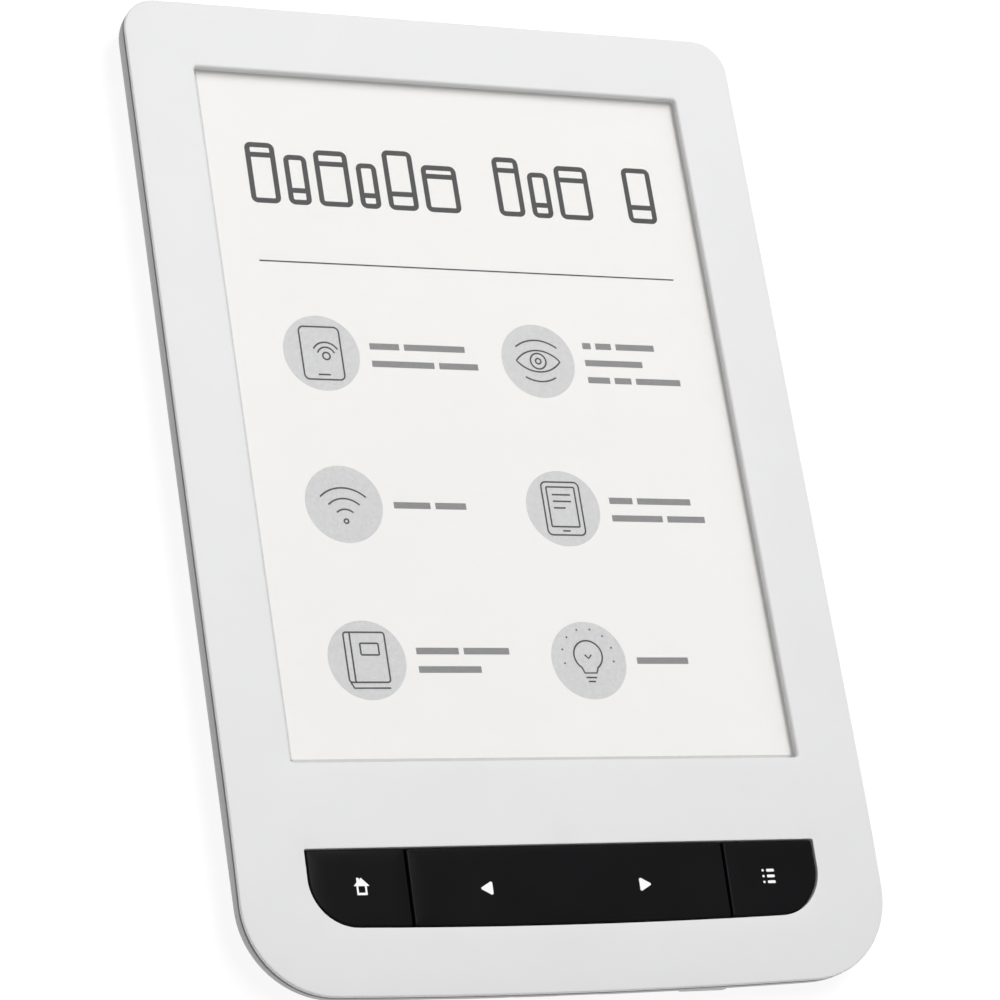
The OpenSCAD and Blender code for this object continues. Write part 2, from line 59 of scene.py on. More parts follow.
# sizes are in millimetres: X across the page, Y up it, Z out of the screen
body = {
    "width": 114.6,
    "length": 174.4,
    "thick": 8.3,
    "topCorner": 6.0,
    "lowCorner": 15.0,
    "bowRadius": 1400.0,
    "chinStart": -50.0,
    "chinDrop": 1.65,
    "windowWidth": 91.4,
    "windowHeight": 123.7,
    "windowY": 13.2,
    "windowCorner": 0.5,
    "steps": {"bow": 14, "low": 20, "side": 32, "top": 14, "lid": 8},
}
halfW = body["width"] / 2
halfL = body["length"] / 2
chinRun = halfL + body["chinStart"]
chinRadius = (chinRun**2 + body["chinDrop"] ** 2) / (2 * body["chinDrop"])
lowX = halfW - body["lowCorner"]
bowY = body["bowRadius"] - halfL
lowY = bowY - math.sqrt((body["bowRadius"] - body["lowCorner"]) ** 2 - lowX**2)


# ---- shapes ----


def frontZ(y, depth=0.0):
    # flat down to the chin, then a long arc to the bottom edge
    if y >= body["chinStart"]:
        return body["thick"] - depth
    run = y - body["chinStart"]
    return body["thick"] - chinRadius + math.sqrt((chinRadius - depth) ** 2 - run**2)


def faceAt(depth=0.0):
    # the front lowered by depth, as a height over X and Y
    return lambda x, y: frontZ(y, depth)


def levelAt(z):
    return lambda x, y: z


def arc(centre, radius, start, end, steps):
    turns = [math.radians(start + (end - start) * i / steps) for i in range(steps + 1)]
    return [(centre[0] + radius * math.cos(a), centre[1] + radius * math.sin(a)) for a in turns]


def roundedBox(low, high, radius, steps=6):
    # counter-clockwise ring with rounded corners
    ring = arc((high[0] - radius, low[1] + radius), radius, -90, 0, steps)
    ring += arc((high[0] - radius, high[1] - radius), radius, 0, 90, steps)
    ring += arc((low[0] + radius, high[1] - radius), radius, 90, 180, steps)
    ring += arc((low[0] + radius, low[1] + radius), radius, 180, 270, steps)
    return ring


def softened(corners, radii, steps=5):
    # rounds the corners of a counter-clockwise polygon, each by its own radius
    ring = []
    for i, corner in enumerate(corners):
        here = Vector(corner)
        back = (Vector(corners[i - 1]) - here).normalized()
        ahead = (Vector(corners[(i + 1) % len(corners)]) - here).normalized()
        if radii[i] <= 0:
            ring.append(tuple(here))
            continue
        half = math.acos(max(-1.0, min(1.0, back.dot(ahead)))) / 2
        reach = radii[i] / math.tan(half)
        centre = here + (back + ahead).normalized() * (radii[i] / math.sin(half))
        first, last = here + back * reach - centre, here + ahead * reach - centre
        sweep = first.angle_signed(last)
        start = math.atan2(first.y, first.x)
        for k in range(steps + 1):
            a = start - sweep * k / steps
            ring.append((centre.x + radii[i] * math.cos(a), centre.y + radii[i] * math.sin(a)))
    return ring


def outlineSteps():
    # places along the right half of the body's outline, from the bottom middle to the top middle
    steps = [(part, i / count) for part, count in body["steps"].items() for i in range(count)]
    return steps + [("lid", 1.0)]


halfOutline = outlineSteps()


def outlineSpot(index, sideIn=0.0, lowIn=0.0, skin=0.0):
    part, t = halfOutline[index]
    topR, lowR = body["topCorner"] - skin, body["lowCorner"] - skin
    edge = halfW - sideIn
    lowC = (edge - lowR, lowY + lowIn - skin)
    topC = (edge - topR, halfL - sideIn - topR)
    bow = body["bowRadius"] - skin
    bowC = lowC[1] + math.sqrt((bow - lowR) ** 2 - lowC[0] ** 2)
    tangent = math.degrees(math.atan2(lowC[1] - bowC, lowC[0]))
    if part == "bow":
        a = math.radians(-90 + t * (tangent + 90))
        return bow * math.cos(a), bowC + bow * math.sin(a)
    if part == "low":
        a = math.radians(tangent * (1 - t))
        return lowC[0] + lowR * math.cos(a), lowC[1] + lowR * math.sin(a)
    if part == "side":
        return edge, lowC[1] + (topC[1] - lowC[1]) * t
    if part == "top":
        a = math.radians(90 * t)
        return topC[0] + topR * math.cos(a), topC[1] + topR * math.sin(a)
    return topC[0] * (1 - t), topC[1] + topR


def wholeRing(half):
    # the right half and its mirror, counter-clockwise
    return half + [(-p[0], *p[1:]) for p in half[-2:0:-1]]


def offsetRing(ring, distance):
    # moves a counter-clockwise ring outwards
    moved = []
    for i, (bx, by) in enumerate(ring):
        ax, ay = ring[i - 1]
        cx, cy = ring[(i + 1) % len(ring)]
        first = Vector((by - ay, ax - bx)).normalized()
        second = Vector((cy - by, bx - cx)).normalized()
        push = (first + second) * (distance / (1 + first.dot(second)))
        moved.append((bx + push.x, by + push.y))
    return moved


def insideRing(x, y, ring):
    found = False
    ax, ay = ring[-1]
    for bx, by in ring:
        if (ay > y) != (by > y) and x < (bx - ax) * (y - ay) / (by - ay) + ax:
            found = not found
        ax, ay = bx, by
    return found


# ---- meshes ----


def newSkin():
    return {"points": [], "faces": []}


def addRing(skin, ring):
    first = len(skin["points"])
    skin["points"].extend(tuple(p) for p in ring)
    return list(range(first, len(skin["points"])))


def bridge(skin, lower, upper):
    for i in range(len(lower)):
        j = (i + 1) % len(lower)
        skin["faces"].append((lower[i], lower[j], upper[j], upper[i]))


def loft(skin, rings, ends=True):
    loops = [addRing(skin, ring) for ring in rings]
    for lower, upper in zip(loops, loops[1:]):
        bridge(skin, lower, upper)
    if ends:
        skin["faces"] += [tuple(reversed(loops[0])), tuple(loops[-1])]
    return loops


def fillBetween(skin, outer, holes, spacing, height):
    # triangles between a ring and its holes, with a loose grid of points so that a curved plate stays smooth
    loops = [outer] + holes
    flat = [[skin["points"][i][:2] for i in loop] for loop in loops]

    def within(x, y):
        return insideRing(x, y, flat[0]) and not any(insideRing(x, y, hole) for hole in flat[1:])

    known = [i for loop in loops for i in loop]
    spots = [p for loop in flat for p in loop]
    edges = []
    for loop in flat:
        first = len(edges)
        edges += [(first + i, first + (i + 1) % len(loop)) for i in range(len(loop))]
    rim = list(spots)
    xs, ys = [p[0] for p in flat[0]], [p[1] for p in flat[0]]
    across = max(1, round((max(xs) - min(xs)) / spacing))
    along = max(1, round((max(ys) - min(ys)) / spacing))
    for i in range(1, across):
        for k in range(1, along):
            x = min(xs) + (max(xs) - min(xs)) * i / across
            y = min(ys) + (max(ys) - min(ys)) * k / along
            if within(x, y) and min((x - a) ** 2 + (y - b) ** 2 for a, b in rim) > (0.4 * spacing) ** 2:
                known.append(len(skin["points"]))
                skin["points"].append((x, y, height(x, y)))
                spots.append((x, y))
    made = delaunay_2d_cdt([Vector(p) for p in spots], edges, [], 0, 1e-6)
    for face in made[2]:
        x = sum(made[0][i].x for i in face) / 3
        y = sum(made[0][i].y for i in face) / 3
        if within(x, y):
            skin["faces"].append(tuple(known[made[3][i][0]] for i in face))


def tidyMesh(mesh, sharp=32):
    work = bmesh.new()
    work.from_mesh(mesh)
    bmesh.ops.remove_doubles(work, verts=work.verts, dist=1e-7)
    bmesh.ops.recalc_face_normals(work, faces=work.faces)
    work.to_mesh(mesh)
    work.free()
    mesh.shade_smooth()
    mesh.set_sharp_from_angle(angle=math.radians(sharp))


def linked(name, data):
    obj = bpy.data.objects.new(name, data)
    bpy.context.scene.collection.objects.link(obj)
    return obj


def newObject(name, skin, material=None):
    mesh = bpy.data.meshes.new(name)
    mesh.from_pydata([(x * mm, y * mm, z * mm) for x, y, z in skin["points"]], [], skin["faces"])
    if material:
        mesh.materials.append(material)
    tidyMesh(mesh)
    return linked(name, mesh)


def settle(obj, onBody, stands=()):
    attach(obj, onBody)
    if stands:
        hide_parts(*stands)
    return obj


def bakeDown(obj):
    # turns what the modifiers make into a plain mesh
    evaluated = obj.evaluated_get(bpy.context.evaluated_depsgraph_get())
    mesh = bpy.data.meshes.new_from_object(evaluated)
    obj.modifiers.clear()
    obj.data = mesh
    tidyMesh(mesh)
    return obj


# ---- finishes ----


def newMaterial(name, colour, roughness, metallic=0.0):
    material = bpy.data.materials.new(name)
    material.use_nodes = True
    shader = material.node_tree.nodes["Principled BSDF"]
    shader.inputs["Base Color"].default_value = (*colour[:3], 1.0)
    shader.inputs["Roughness"].default_value = roughness
    shader.inputs["Metallic"].default_value = metallic
    return material, material.node_tree, shader


def noiseAt(tree, size, detail=2.0, stretch=(1, 1, 1)):
    # noise whose features are about size millimetres across
    place = tree.nodes.new("ShaderNodeTexCoord")
    turn = tree.nodes.new("ShaderNodeMapping")
    turn.inputs["Scale"].default_value = stretch
    noise = tree.nodes.new("ShaderNodeTexNoise")
    noise.inputs["Scale"].default_value = 1 / (size * mm)
    noise.inputs["Detail"].default_value = detail
    tree.links.new(place.outputs["Object"], turn.inputs["Vector"])
    tree.links.new(turn.outputs["Vector"], noise.inputs["Vector"])
    return noise


def twoTone(tree, shader, factor, dark, light, low=0.35, high=0.65):
    ramp = tree.nodes.new("ShaderNodeValToRGB")
    ramp.color_ramp.elements[0].position = low
    ramp.color_ramp.elements[0].color = (*dark, 1.0)
    ramp.color_ramp.elements[1].position = high
    ramp.color_ramp.elements[1].color = (*light, 1.0)
    tree.links.new(factor, ramp.inputs["Fac"])
    tree.links.new(ramp.outputs["Color"], shader.inputs["Base Color"])
    return ramp


def unevenGloss(tree, shader, factor, low, high):
    spread = tree.nodes.new("ShaderNodeMapRange")
    spread.inputs["From Min"].default_value = 0.3
    spread.inputs["From Max"].default_value = 0.7
    spread.inputs["To Min"].default_value = low
    spread.inputs["To Max"].default_value = high
    tree.links.new(factor, spread.inputs["Value"])
    tree.links.new(spread.outputs["Result"], shader.inputs["Roughness"])


def relief(tree, shader, factor, depth, strength=0.6):
    bump = tree.nodes.new("ShaderNodeBump")
    bump.inputs["Distance"].default_value = depth * mm
    bump.inputs["Strength"].default_value = strength
    tree.links.new(factor, bump.inputs["Height"])
    tree.links.new(bump.outputs["Normal"], shader.inputs["Normal"])


def shade(colour, by):
    return tuple(max(0.0, min(1.0, c * by)) for c in colour)


def glow(shader, strength, colour=(1.0, 1.0, 1.0)):
    shader.inputs["Emission Color"].default_value = (*colour, 1.0)
    shader.inputs["Emission Strength"].default_value = strength


def moulded(
    name, colour, gloss, grain=0.16, depth=0.006, mottle=0.02, cloud=14.0, metallic=0.0, stretch=(1, 1, 1)
):
    # a moulded or rolled surface: cloudy tone, fine grain in the gloss and in the relief
    material, tree, shader = newMaterial(name, colour, sum(gloss) / 2, metallic)
    tone = noiseAt(tree, cloud, 3.0)
    twoTone(tree, shader, tone.outputs["Fac"], shade(colour, 1 - mottle), shade(colour, 1 + mottle))
    fine = noiseAt(tree, grain, 2.0, stretch)
    unevenGloss(tree, shader, fine.outputs["Fac"], *gloss)
    relief(tree, shader, fine.outputs["Fac"], depth)
    return material, shader


def bezelPlastic():
    material, shader = moulded(
        "bezelPlastic", (0.777, 0.777, 0.78), (0.42, 0.55), grain=0.14, depth=0.004, mottle=0.008
    )
    shader.inputs["Specular IOR Level"].default_value = 0.35
    return material


def coverPlastic():
    material, shader = moulded(
        "coverPlastic", (0.42, 0.42, 0.43), (0.45, 0.6), grain=0.22, depth=0.006, mottle=0.02
    )
    shader.inputs["Sheen Weight"].default_value = 0.05
    return material


def keyPlastic():
    material, shader = moulded(
        "keyPlastic", (0.0085, 0.0078, 0.0086), (0.17, 0.25), grain=0.12, depth=0.003, mottle=0.08
    )
    shader.inputs["Specular IOR Level"].default_value = 0.05
    return material


def keyPrintPaintedGlow():
    material, shader = moulded(
        "keyPrintPaintedGlow", (0.9, 0.9, 0.9), (0.4, 0.5), grain=0.1, depth=0.002, mottle=0.02, cloud=0.6
    )
    # painted light: the white print glows a little though it is no lamp
    glow(shader, 0.08)
    return material


def paperFilmPaintedGlow():
    # microcapsule speckle under a matte film; its glow is painted light that lifts the shade on the screen,
    # though the film is no lamp
    material, shader = moulded(
        "paperFilmPaintedGlow", (0.7, 0.69, 0.672), (0.75, 0.9), grain=0.3, depth=0.002, mottle=0.006, cloud=30.0
    )
    glow(shader, 0.2, (1.0, 0.99, 0.97))
    return material


def screenInk(name, grey):
    return plain(name, (grey, grey, grey), (0.7, 0.85), grain=0.25, depth=0.001, mottle=0.05, cloud=0.5)


def clearLayer(name, tint, alpha, roughness):
    material, tree, shader = newMaterial(name, tint, roughness)
    fine = noiseAt(tree, 0.2)
    unevenGloss(tree, shader, fine.outputs["Fac"], roughness - 0.05, roughness + 0.05)
    relief(tree, shader, fine.outputs["Fac"], 0.001, 0.3)
    shader.inputs["Alpha"].default_value = alpha
    shader.inputs["IOR"].default_value = 1.5
    return material


def solderMask():
    # copper traces lift the green coat in short runs
    material, tree, shader = newMaterial("solderMask", (0.012, 0.11, 0.045), 0.35)
    place = tree.nodes.new("ShaderNodeTexCoord")
    cells = tree.nodes.new("ShaderNodeTexVoronoi")
    cells.distance = "CHEBYCHEV"
    cells.feature = "DISTANCE_TO_EDGE"
    cells.inputs["Scale"].default_value = 420
    tree.links.new(place.outputs["Object"], cells.inputs["Vector"])
    twoTone(tree, shader, cells.outputs["Distance"], (0.02, 0.16, 0.06), (0.01, 0.09, 0.035), 0.05, 0.09)
    relief(tree, shader, cells.outputs["Distance"], 0.02, 0.4)
    fine = noiseAt(tree, 0.6)
    unevenGloss(tree, shader, fine.outputs["Fac"], 0.28, 0.42)
    return material


def ribbonFoil():
    # amber film over parallel copper lines
    material, tree, shader = newMaterial("ribbonFoil", (0.62, 0.27, 0.05), 0.3)
    place = tree.nodes.new("ShaderNodeTexCoord")
    lines = tree.nodes.new("ShaderNodeTexWave")
    lines.bands_direction = "X"
    lines.inputs["Scale"].default_value = 550
    tree.links.new(place.outputs["Object"], lines.inputs["Vector"])
    twoTone(tree, shader, lines.outputs["Fac"], (0.42, 0.17, 0.03), (0.72, 0.34, 0.08), 0.4, 0.6)
    relief(tree, shader, lines.outputs["Fac"], 0.01, 0.5)
    fine = noiseAt(tree, 0.8)
    unevenGloss(tree, shader, fine.outputs["Fac"], 0.25, 0.38)
    return material


def brushed(name, colour, gloss):
    lines = {"metallic": 1.0, "stretch": (0.15, 1, 1)}
    return plain(name, colour, gloss, grain=0.35, depth=0.004, mottle=0.06, cloud=3.0, **lines)


def pouchFoil():
    # soft creases of a foil pouch; the tone follows the crease relief, darker in its hollows, which is
    # painted shade
    material, tree, shader = newMaterial("pouchFoil", (0.6, 0.61, 0.63), 0.42, 0.85)
    creases = noiseAt(tree, 11.0, 5.0)
    twoTone(tree, shader, creases.outputs["Fac"], (0.5, 0.51, 0.53), (0.68, 0.69, 0.7))
    relief(tree, shader, creases.outputs["Fac"], 0.25, 0.6)
    fine = noiseAt(tree, 0.4)
    unevenGloss(tree, shader, fine.outputs["Fac"], 0.36, 0.5)
    return material


def plain(name, colour, gloss, **more):
    return moulded(name, colour, gloss, **more)[0]


finishes = {
    "bezel": bezelPlastic(),
    "cover": coverPlastic(),
    "key": keyPlastic(),
    "keyPrintPaintedGlow": keyPrintPaintedGlow(),
    "screen": paperFilmPaintedGlow(),
    "inkLine": screenInk("inkLine", 0.045),
    "inkText": screenInk("inkText", 0.24),
    "inkDisc": screenInk("inkDisc", 0.64),
    # painted shade: the grey of the band of lip shade drawn on the screen
    "lipShadeInk": screenInk("lipShadeInk", 0.64),
    "clear_panel": clearLayer("clearPanel", (0.95, 0.96, 0.97), 0.02, 0.3),
    "light_guide": clearLayer("lightGuide", (0.96, 0.97, 0.98), 0.01, 0.2),
    "frame": brushed("frameSheet", (0.66, 0.67, 0.69), (0.3, 0.42)),
    "gasket": plain(
        "gasketFoam", (0.62, 0.62, 0.62), (0.85, 0.95), grain=0.25, depth=0.03, mottle=0.1, cloud=1.0
    ),
    "flex": ribbonFoil(),
    "led": plain("ledPhosphor", (0.86, 0.8, 0.45), (0.25, 0.4), grain=0.08, cloud=0.5, mottle=0.06),
    "display_glass": plain(
        "backplaneGlass", (0.09, 0.1, 0.11), (0.08, 0.16), grain=2.0, depth=0.001, mottle=0.05
    ),
    "tray": plain("trayPlastic", (0.008, 0.008, 0.008), (0.55, 0.7), grain=0.2, depth=0.008, mottle=0.1),
    "dome": brushed("domeSteel", (0.72, 0.72, 0.7), (0.18, 0.3)),
    "board": solderMask(),
    "chip": plain(
        "chipCompound", (0.025, 0.025, 0.027), (0.5, 0.65), grain=0.12, depth=0.006, mottle=0.12, cloud=1.5
    ),
    "tin": brushed("tinnedLid", (0.68, 0.68, 0.67), (0.28, 0.42)),
    "ceramic_part": plain("firedCeramic", (0.6, 0.47, 0.32), (0.3, 0.45), grain=0.1, mottle=0.1, cloud=0.7),
    "ferrite": plain(
        "ferriteBlock", (0.05, 0.05, 0.055), (0.55, 0.7), grain=0.1, depth=0.01, mottle=0.15, cloud=0.9
    ),
    "connector": plain("nylonShell", (0.72, 0.68, 0.57), (0.45, 0.6), grain=0.2, mottle=0.04, cloud=2.0),
    "lead_red": plain("redSleeve", (0.5, 0.015, 0.015), (0.3, 0.42), grain=0.3, mottle=0.08, cloud=1.5),
    "lead_black": plain("blackSleeve", (0.014, 0.014, 0.014), (0.3, 0.42), grain=0.3, mottle=0.1, cloud=1.5),
    "cell": pouchFoil(),
    "cell_tape": plain("amberTape", (0.55, 0.29, 0.04), (0.25, 0.35), grain=0.8, mottle=0.06, cloud=3.0),
    "foam_tape": plain(
        "foamTape", (0.78, 0.78, 0.76), (0.85, 0.95), grain=0.3, depth=0.03, mottle=0.04, cloud=2.0
    ),
    "port_shell": brushed("portShell", (0.62, 0.62, 0.6), (0.2, 0.34)),
    "tongue": plain("tonguePlastic", (0.012, 0.012, 0.012), (0.4, 0.55), grain=0.15, mottle=0.1, cloud=1.0),
    "button": plain(
        "buttonPlastic", (0.42, 0.42, 0.43), (0.25, 0.36), grain=0.15, depth=0.003, mottle=0.1, cloud=1.5
    ),
    "plunger": plain("plungerPlastic", (0.7, 0.7, 0.67), (0.4, 0.55), grain=0.2, mottle=0.04, cloud=1.0),
    "light_pipe": clearLayer("lightPipe", (0.85, 0.92, 0.88), 0.85, 0.25),
    "screw": brushed("screwZinc", (0.12, 0.12, 0.125), (0.25, 0.38)),
    "gold": brushed("goldPlate", (0.83, 0.58, 0.22), (0.15, 0.25)),
}

slotOf = {part["node"]: part["material_slot"] for part in frame["record"]["subparts"]}
for name, obj in nodes.items():
    obj.data.materials.clear()
    obj.data.materials.append(finishes[slotOf[name]])
print("finishes made:", len(finishes))


# ---- front ----

# edge profiles are (how far back from the edge, how deep)
bezel = {
    "rim": [
        (0.32, 0.0), (0.21, 0.01), (0.11, 0.045), (0.04, 0.105), (0.005, 0.19), (0.0, 0.27),
        (0.0, 0.56), (0.03, 0.62), (0.09, 0.65), (0.8, 0.65), (0.8, 1.2),
    ],
    "lip": [
        (0.55, 0.0), (0.42, 0.015), (0.3, 0.06), (0.19, 0.13), (0.11, 0.22),
        (0.04, 0.35), (0.01, 0.5), (0.0, 0.65), (0.0, 1.14), (0.06, 1.2),
    ],
    "keyLip": [(0.16, 0.0), (0.09, 0.012), (0.03, 0.05), (0.0, 0.13), (0.0, 1.15), (0.05, 1.2)],
    "plate": 1.2,
    "skirtOut": 1.7,
    "skirtIn": 2.6,
    "skirtFoot": 5.6,
    "skirtLeast": 0.05,
    "grid": 4.0,
}
keyBar = {
    "width": 91.2,
    "top": -63.0,
    "low": -76.3,
    "corner": 8.0,
    "topCorner": 0.3,
}


def windowRing():
    x, y = body["windowWidth"] / 2, body["windowHeight"] / 2
    return roundedBox((-x, body["windowY"] - y), (x, body["windowY"] + y), body["windowCorner"])


def keyBarRing():
    # straight top, low corners of their own radius and a bottom edge that runs with the body's
    bow = bowY - keyBar["low"]
    x = keyBar["width"] / 2 - keyBar["corner"]
    y = bowY - math.sqrt((bow - keyBar["corner"]) ** 2 - x**2)
    tangent = math.degrees(math.atan2(y - bowY, x))
    half = arc((0.0, bowY), bow, -90, tangent, 12)[:-1]
    half += arc((x, y), keyBar["corner"], tangent, 0, 16)
    small = keyBar["topCorner"]
    half += arc((keyBar["width"] / 2 - small, keyBar["top"] - small), small, 0, 90, 5)
    half.append((0.0, keyBar["top"]))
    return wholeRing(half)


def onFront(ring, depth):
    return [(x, y, frontZ(y, depth)) for x, y in ring]


def upright(ring, z):
    return [(x, y, z) for x, y in ring]


bosses = {
    "frame": {
        "places": [(52.9, y) for y in (-38.0, 0.0, 38.0, 76.0)],
        "radius": 1.2,
        "bore": 0.6,
        "foot": 5.15,
        "boreTop": 6.75,
        "into": 1.0,
    },
    "chin": {
        "places": [(50.0, -63.4), (41.0, -79.4)],
        "radius": 1.7,
        "bore": 0.8,
        "foot": 4.5,
        "boreTop": 5.9,
        "into": 0.6,
    },
}
hooks = {
    "sides": [-45.0, -5.0, 25.0, 65.0],
    "top": [-25.0, 25.0],
    "half": 3.0,
    "root": 2.4,
    "tip": 1.0,
    "low": 6.0,
    "high": 6.6,
    "play": 0.15,
}


def addBosses(skin, look):
    # hollow screw posts that stand up into the front plate
    for x, y in look["places"]:
        for side in (-1, 1):
            bore, post = (arc((side * x, y), r, 0, 345, 23) for r in (look["bore"], look["radius"]))
            rings = [upright(bore, look["boreTop"]), upright(bore, look["foot"]), upright(post, look["foot"])]
            loft(skin, rings + [onFront(post, look["into"])])


def addHooks(skin, play=0.0):
    # snap hooks along the sides and the top, or their pockets when play is given
    near, far, half = hooks["root"], hooks["tip"] - play, hooks["half"] + play
    spots = [(x - half, halfL - near, x + half, halfL - far) for x in hooks["top"]]
    for y in hooks["sides"]:
        spots.append((halfW - near, y - half, halfW - far, y + half))
        spots.append((far - halfW, -y - half, near - halfW, half - y))
    for left, low, right, high in spots:
        ring = roundedBox((left, low), (right, high), 0.05, 1)
        loft(skin, [upright(ring, z) for z in (hooks["low"] - play, hooks["high"] + play)])


def makeBezel():
    outline = wholeRing([outlineSpot(i) for i in range(len(halfOutline))])
    skin = newSkin()
    rings = [onFront(offsetRing(outline, -inset), depth) for inset, depth in bezel["rim"]]
    rings.append(onFront(offsetRing(outline, -bezel["skirtOut"]), bezel["plate"]))
    least = bezel["plate"] + bezel["skirtLeast"]
    for inset in (bezel["skirtOut"], bezel["skirtIn"]):
        foot = offsetRing(outline, -inset)
        rings.append([(x, y, min(bezel["skirtFoot"], frontZ(y, least))) for x, y in foot])
    rings.append(onFront(offsetRing(outline, -bezel["skirtIn"]), bezel["plate"]))
    edge = loft(skin, rings, ends=False)
    lips = []
    for ring, profile in ((windowRing(), bezel["lip"]), (keyBarRing(), bezel["keyLip"])):
        lips.append(loft(skin, [onFront(offsetRing(ring, out), depth) for out, depth in profile], ends=False))
    fillBetween(skin, edge[0], [lip[0] for lip in lips], bezel["grid"], faceAt())
    fillBetween(skin, edge[-1], [lip[-1] for lip in lips], bezel["grid"], faceAt(bezel["plate"]))
    addBosses(skin, bosses["frame"])
    addBosses(skin, bosses["chin"])
    addHooks(skin)
    piece = newObject("frontBezel", skin, finishes["bezel"])
    return settle(piece, "housing", ["front_bezel"])


makeBezel()
print("front made")


# ---- back cover ----

cover = {
    "rim": 7.1,
    "sideCurve": 9.0,
    "lowCurve": 5.0,
    "power": 2.75,
    "wall": 1.2,
    "floor": 1.2,
    "levels": 18,
    "grid": 14.0,
    "usb": {"x": 0.0, "z": 2.5, "half": (4.35, 1.65), "corner": 1.2, "from": -83.7, "to": -89.0},
    "usbRoom": {"x": 0.0, "z": 2.95, "half": (3.95, 1.75), "corner": 0.05, "from": -78.0, "to": -84.1},
    "card": {"x": -28.0, "z": 3.025, "half": (6.4, 0.8), "corner": 0.7, "from": -82.0, "to": -89.0},
    "button": {"x": 23.0, "z": 3.0, "half": (4.75, 1.25), "corner": 1.2, "from": -82.0, "to": -89.0},
    "reset": {"x": -12.0, "z": 3.0, "half": (0.6, 0.6), "corner": 0.599, "from": -81.0, "to": -89.0},
    "resetMouth": {"x": -12.0, "z": 3.0, "half": (1.1, 1.1), "corner": 1.099, "from": -86.3, "to": -89.0},
    "resetTube": {"x": -12.0, "z": 3.0, "half": (1.5, 1.5), "corner": 1.499, "from": -82.4, "to": -85.4},
    "light": {"x": 11.5, "z": 3.0, "half": (0.65, 0.65), "corner": 0.649, "from": -81.0, "to": -89.0},
}


def slotPrism(look):
    # a rounded bar that runs along Y
    ring = roundedBox((-look["half"][0], -look["half"][1]), look["half"], look["corner"], 8)
    skin = newSkin()
    loft(skin, [[(look["x"] + x, y, look["z"] + z) for x, z in ring] for y in (look["from"], look["to"])])
    return skin


def curveIn(z, foot, curve):
    # how far the shell has drawn in at a height: upright near the rim, then a fast turn
    power = cover["power"]
    down = 1 - (z - foot) / (cover["rim"] - foot)
    return curve * (1 - max(0.0, 1 - down**power) ** (1 / power))


def shellRing(share, skin, foot):
    half = []
    for i in range(len(halfOutline)):
        top = frontZ(outlineSpot(i, skin, skin, skin)[1], bezel["plate"])
        z = foot + (top - foot) * share
        sideIn = skin + curveIn(z, foot, cover["sideCurve"] - skin)
        lowIn = skin + curveIn(z, foot, cover["lowCurve"] - skin)
        half.append((*outlineSpot(i, sideIn, lowIn, skin), z))
    return wholeRing(half)


def cutWith(obj, skin, operation="DIFFERENCE"):
    tool = newObject("cutter", skin)
    cut = obj.modifiers.new("cut", "BOOLEAN")
    cut.operation = operation
    cut.solver = "EXACT"
    cut.object = tool
    bakeDown(obj)
    bpy.data.objects.remove(tool)


def makeCover():
    shares = [1 - math.cos(math.pi / 2 * i / cover["levels"]) for i in range(cover["levels"] + 1)]
    skin = newSkin()
    outside = loft(skin, [shellRing(share, 0.0, 0.0) for share in shares], ends=False)
    inside = loft(skin, [shellRing(share, cover["wall"], cover["floor"]) for share in shares], ends=False)
    bridge(skin, outside[-1], inside[-1])
    fillBetween(skin, outside[0], [], cover["grid"], levelAt(0.0))
    fillBetween(skin, inside[0], [], cover["grid"], levelAt(cover["floor"]))
    piece = newObject("backCover", skin, finishes["cover"])
    cutWith(piece, slotPrism(cover["resetTube"]), "UNION")
    for port in ("usb", "usbRoom", "card", "button", "reset", "resetMouth", "light"):
        cutWith(piece, slotPrism(cover[port]))
    pockets = newSkin()
    addHooks(pockets, hooks["play"])
    cutWith(piece, pockets)
    return settle(piece, "housing", ["back_cover"])


makeCover()
print("cover made")


# ---- keys ----

keys = {
    "gap": 0.3,
    "split": 28.4,
    "between": 0.45,
    "sink": 0.1,
    "wall": 0.8,
    "roof": 0.9,
    "edge": [(0.26, 0.0), (0.16, 0.012), (0.07, 0.05), (0.015, 0.12), (0.0, 0.22)],
    "corner": 0.35,
    "stemRadius": 1.5,
    "stemFoot": 4.85,
    "stemLength": 2.0,
    "ribHalf": 0.4,
    "ribLow": 1.0,
    "ribTop": 0.6,
    "line": -69.6,
    "homeX": -36.9,
    "domeX": 18.0,
    "flange": 0.4,
    "endFoot": 5.62,
    "pageFoot": 5.85,
    "pinZ": 5.85,
    "pinRadius": 0.4,
    "pinEnds": (-65.8, -74.2),
    "rockerRib": ((-1.6, -72.8), (1.6, -67.2)),
    "rockerRibFoot": 5.5,
    "lap": 0.02,
    "past": 60.0,
    "grid": {"top": 2.5, "roof": 4.0, "flange": 8.0},
}


